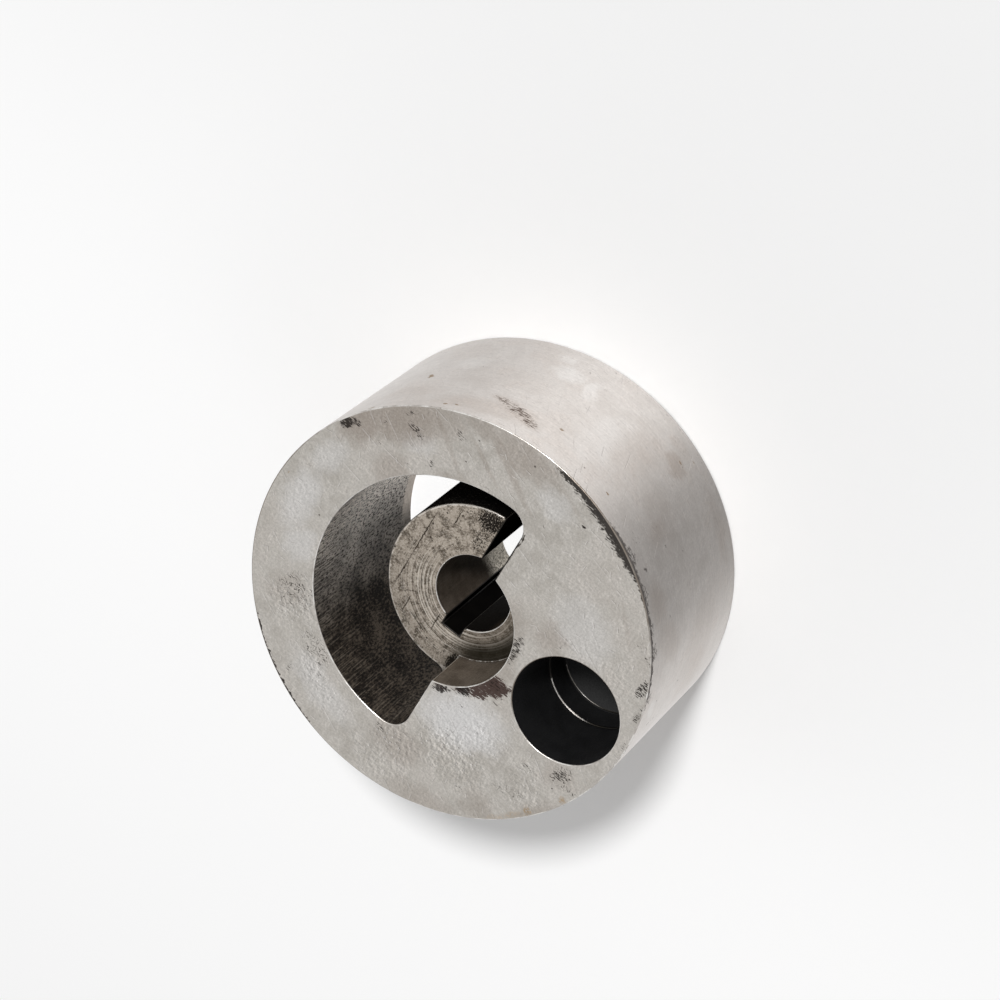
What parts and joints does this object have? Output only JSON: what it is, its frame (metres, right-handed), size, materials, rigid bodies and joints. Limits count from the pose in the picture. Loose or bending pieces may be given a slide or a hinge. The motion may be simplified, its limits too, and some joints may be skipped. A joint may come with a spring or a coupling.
{
  "type": "shaft coupling",
  "caption": "Round steel half of a pin-driven shaft coupling, with a D-shaped through window, a keyed hub standing in it and a blind pin hole in the open face.",
  "frame": {"origin": "centre of the back face, on the axis of the shaft bore", "axes": "+Z along the shaft bore towards the open face, +X from the axis towards the pin hole, +Y towards the open slot in the hub; the keyway is on the -Y side"},
  "size_m": [0.16, 0.16, 0.076],
  "materials": {
    "steel": "machined, satin, with light grime"
  },
  "bodies": {
    "root": {"coupling_body": "steel"}
  },
  "joints": []
}
